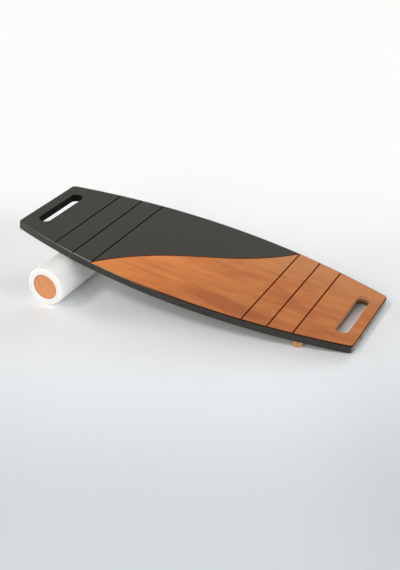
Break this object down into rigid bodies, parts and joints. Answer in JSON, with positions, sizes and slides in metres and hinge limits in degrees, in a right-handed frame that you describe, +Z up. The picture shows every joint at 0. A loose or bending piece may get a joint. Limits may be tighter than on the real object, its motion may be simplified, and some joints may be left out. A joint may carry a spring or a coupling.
{
  "type": "balance roller board",
  "caption": "Bowed balance board with a part-painted wooden deck, a hand slot at each end and stop rails beneath, which tilts and travels on a loose tube roller with wooden end plugs.",
  "frame": {"origin": "middle of the whole board's box, on the floor, as the board lies at rest with its right end down and the roller against the left stop rail", "axes": "+X along the deck to its wood-faced right end, -Y to its front long side, +Z up from the floor"},
  "size_m": [0.76, 0.3734, 0.1183],
  "materials": {
    "deck": "oiled wood top, one side of its winding line and the rims painted satin charcoal",
    "stop_rails": "pale lacquered wood",
    "screws": "zinc plated",
    "roller_tube": "satin white",
    "end_plugs": "oiled wood"
  },
  "bodies": {
    "roller_hub": {"rear_end_plug": "end_plugs"},
    "roller_carriage": {"front_end_plug": "end_plugs"},
    "roller": {"roller_tube": "roller_tube"},
    "deck": {"deck_panel": "deck", "left_stop_rail": "stop_rails", "right_stop_rail": "stop_rails", "left_stop_rail_screw_1": "screws", "left_stop_rail_screw_2": "screws", "left_stop_rail_screw_3": "screws", "right_stop_rail_screw_1": "screws", "right_stop_rail_screw_2": "screws", "right_stop_rail_screw_3": "screws"}
  },
  "joints": [
    {"name": "deck_tilt", "type": "hinge", "parent": "roller_hub", "child": "roller_carriage", "pos_m": [-0.24443, -0.00175, 0.041], "axis": [0, -1, 0], "range_deg": [0, 40]},
    {"name": "deck_travel", "type": "slide", "parent": "roller_carriage", "child": "deck", "axis": [0.9912, 0, -0.1321], "range_m": [-0.4797, 0]},
    {"name": "roller_spin", "type": "hinge", "parent": "roller_carriage", "child": "roller", "pos_m": [-0.24443, -0.00175, 0.041], "axis": [0, 1, 0], "range_deg": [-672, 0]}
  ],
  "couplings": [
    {"joint": "roller_spin", "follows": "deck_travel", "rad_per_m": 24.39}
  ]
}
